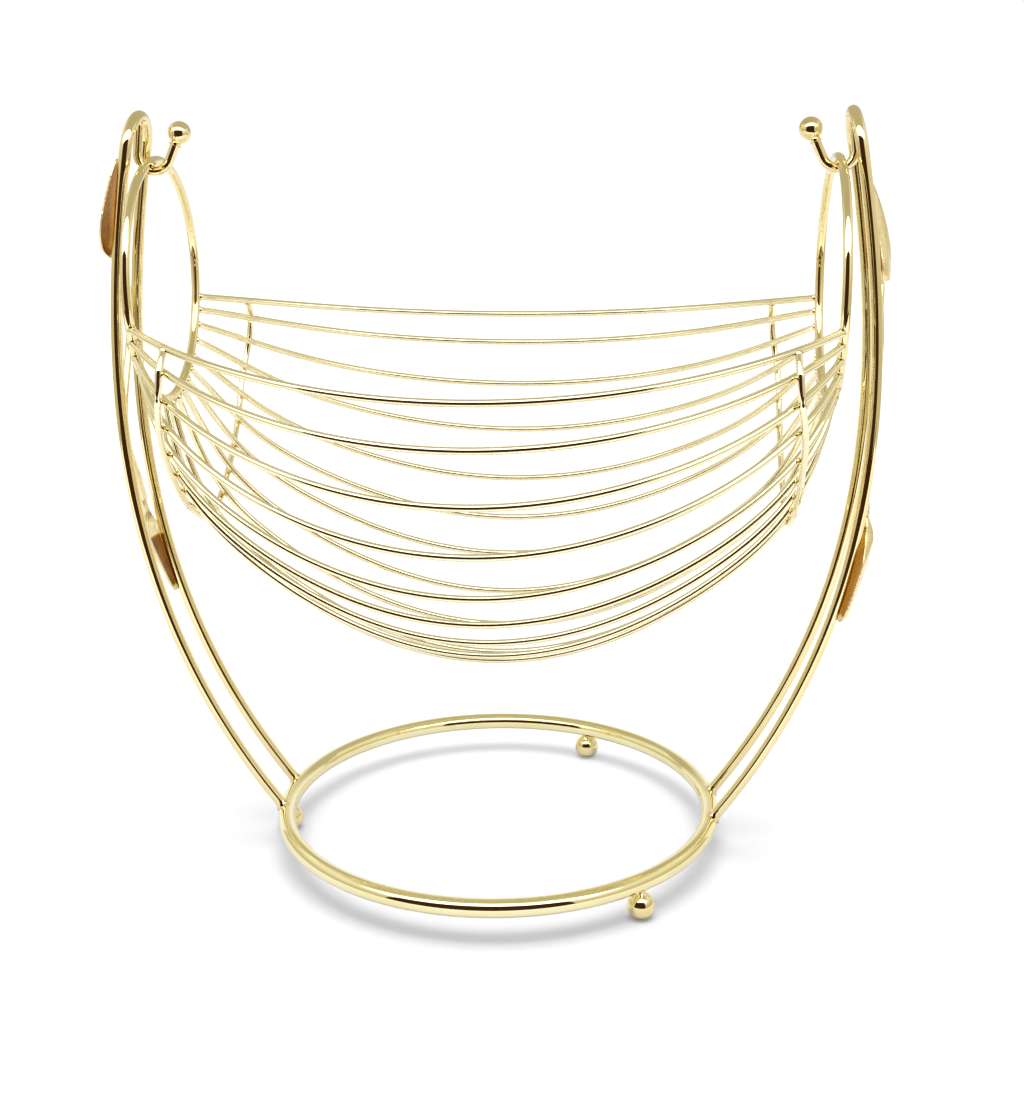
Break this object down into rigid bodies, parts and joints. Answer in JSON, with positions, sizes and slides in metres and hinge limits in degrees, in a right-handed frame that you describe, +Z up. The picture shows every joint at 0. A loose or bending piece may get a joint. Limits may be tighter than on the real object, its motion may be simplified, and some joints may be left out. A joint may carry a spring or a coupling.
{
  "type": "swinging wire basket",
  "caption": "Polished gold wire fruit basket: a cradle of sagging wires between two end rings, hung on ball-tipped hooks of hairpin arms on a ring base with ball feet.",
  "frame": {"origin": "centre of the bounding box's bottom face, which is under the middle of the base ring, on the table", "axes": "+X along the cradle from the left arm to the right arm, +Y from the front of the cradle to its back, +Z up"},
  "size_m": [0.3336, 0.2446, 0.3294],
  "materials": {
    "gold_rod": "mirror-polished pale gold plating on steel rod",
    "gold_wire": "mirror-polished pale gold plating on thin steel wire",
    "cast_leaf": "polished pale gold plating on a cast leaf, darker in its hollows"
  },
  "bodies": {
    "stand": {"base_ring": "gold_rod", "foot_ball_back": "gold_rod", "foot_ball_left": "gold_rod", "foot_ball_front": "gold_rod", "arm_left": "gold_rod", "arm_right": "gold_rod", "hook_left": "gold_rod", "hook_right": "gold_rod", "hook_ball_left": "gold_rod", "hook_ball_right": "gold_rod", "upper_leaf_left": "cast_leaf", "upper_leaf_right": "cast_leaf", "lower_leaf_left": "cast_leaf", "lower_leaf_right": "cast_leaf", "vine_stem_left": "cast_leaf", "vine_stem_right": "cast_leaf"},
    "basket": {"end_ring_left": "gold_rod", "end_ring_right": "gold_rod", "rib_left": "gold_rod", "rib_right": "gold_rod", "wire_front_1": "gold_wire", "wire_front_2": "gold_wire", "wire_front_3": "gold_wire", "wire_front_4": "gold_wire", "wire_front_5": "gold_wire", "wire_front_6": "gold_wire", "wire_front_7": "gold_wire", "wire_front_8": "gold_wire", "wire_front_9": "gold_wire", "wire_back_1": "gold_wire", "wire_back_2": "gold_wire", "wire_back_3": "gold_wire", "wire_back_4": "gold_wire", "wire_back_5": "gold_wire", "wire_back_6": "gold_wire", "wire_back_7": "gold_wire", "wire_back_8": "gold_wire", "wire_back_9": "gold_wire", "wire_bottom": "gold_wire"}
  },
  "joints": [
    {"name": "basket_swing", "type": "hinge", "parent": "stand", "child": "basket", "pos_m": [0, 0, 0.3046], "axis": [1, 0, 0], "range_deg": [-35, 35]}
  ]
}
